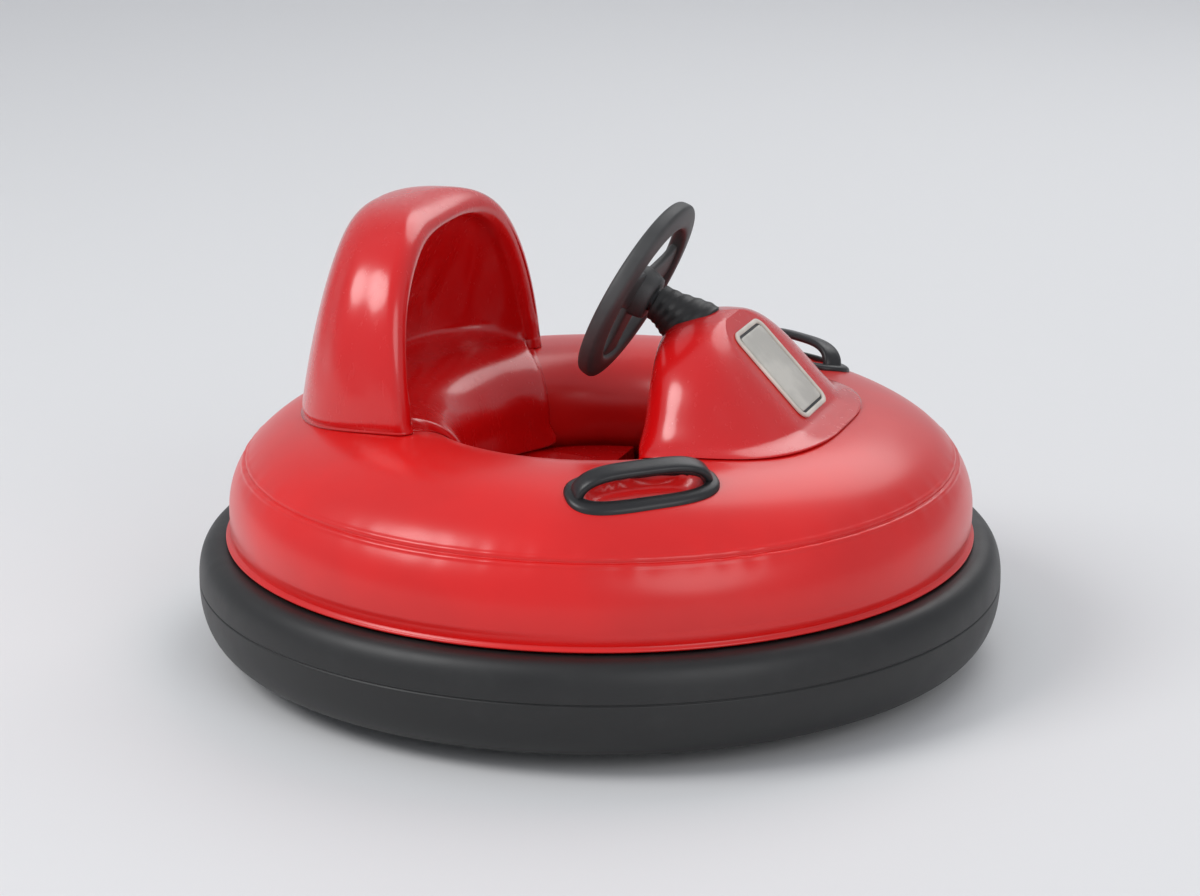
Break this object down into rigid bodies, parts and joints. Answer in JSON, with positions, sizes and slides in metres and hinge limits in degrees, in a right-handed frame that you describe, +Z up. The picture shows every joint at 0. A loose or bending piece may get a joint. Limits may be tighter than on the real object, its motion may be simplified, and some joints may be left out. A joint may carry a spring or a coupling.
{
  "type": "children's battery bumper car with an inflated ring body",
  "caption": "Small ride-on bumper car: round inflated body in a rubber bumper ring, moulded seat, steering console, steered drive wheel and two free rear wheels.",
  "frame": {"origin": "on the floor under the axis of the round body, the bottom centre of the whole car", "axes": "+X forwards, +Y to the rider's left, +Z up"},
  "size_m": [0.778, 0.778, 0.4368],
  "materials": {
    "ring_skin": "inflated vinyl, satin gloss",
    "red_moulding": "blow-moulded plastic, glossy",
    "bumper_rubber": "moulded rubber, satin",
    "black_moulding": "moulded plastic",
    "handle_moulding": "moulded plastic, satin",
    "wheel_grip": "moulded plastic, grained",
    "grey_moulding": "moulded plastic, fine grain",
    "valve_plastic": "translucent soft plastic",
    "panel_frame": "moulded plastic",
    "panel_face": "plain face",
    "battery_case": "moulded case",
    "zinc_steel": "zinc plated",
    "gearbox_case": "moulded case",
    "wheel_plastic": "moulded plastic",
    "tyre_rubber": "solid rubber"
  },
  "bodies": {
    "chassis": {"chassis_pan": "black_moulding", "pan_rim": "black_moulding", "tub_floor": "grey_moulding", "ring_deck": "grey_moulding", "wheel_dome": "grey_moulding", "bumper_ring": "bumper_rubber", "cockpit_tub": "grey_moulding", "body_ring": "ring_skin", "air_valve": "valve_plastic", "seat_base": "red_moulding", "seat_back": "red_moulding", "console": "red_moulding", "console_base": "grey_moulding", "panel_frame": "panel_frame", "panel_plate": "panel_face", "column_collar": "black_moulding", "handle_left": "handle_moulding", "handle_right": "handle_moulding", "battery": "battery_case", "pedal": "black_moulding", "power_switch": "black_moulding", "charge_socket": "black_moulding", "spindle_bearing": "zinc_steel", "rear_axle_left": "zinc_steel", "rear_axle_right": "zinc_steel"},
    "fork": {"drive_fork": "zinc_steel", "drive_motor": "gearbox_case", "drive_axle": "zinc_steel"},
    "drive_wheel": {"drive_hub": "wheel_plastic", "drive_tyre": "tyre_rubber"},
    "rear_wheel_left": {"rear_hub_left": "wheel_plastic", "rear_tyre_left": "tyre_rubber"},
    "rear_wheel_right": {"rear_hub_right": "wheel_plastic", "rear_tyre_right": "tyre_rubber"},
    "steering": {"steering_wheel": "wheel_grip", "steering_column": "black_moulding"}
  },
  "joints": [
    {"name": "steer", "type": "hinge", "parent": "chassis", "child": "steering", "pos_m": [0.038, 0, 0.351], "axis": [-0.891, 0, 0.454], "range_deg": [-90, 90]},
    {"name": "fork_swivel", "type": "hinge", "parent": "chassis", "child": "fork", "pos_m": [0.112, 0, 0.1], "axis": [0, 0, 1], "range_deg": [-90, 90]},
    {"name": "drive_roll", "type": "hinge", "parent": "fork", "child": "drive_wheel", "pos_m": [0.112, 0, 0.05], "axis": [0, 1, 0], "continuous": true},
    {"name": "rear_roll_left", "type": "hinge", "parent": "chassis", "child": "rear_wheel_left", "pos_m": [-0.19586, 0.156, 0.045], "axis": [0, 1, 0], "continuous": true},
    {"name": "rear_roll_right", "type": "hinge", "parent": "chassis", "child": "rear_wheel_right", "pos_m": [-0.19586, -0.156, 0.045], "axis": [0, 1, 0], "continuous": true}
  ],
  "couplings": [
    {"joint": "fork_swivel", "follows": "steer", "ratio": 1}
  ]
}
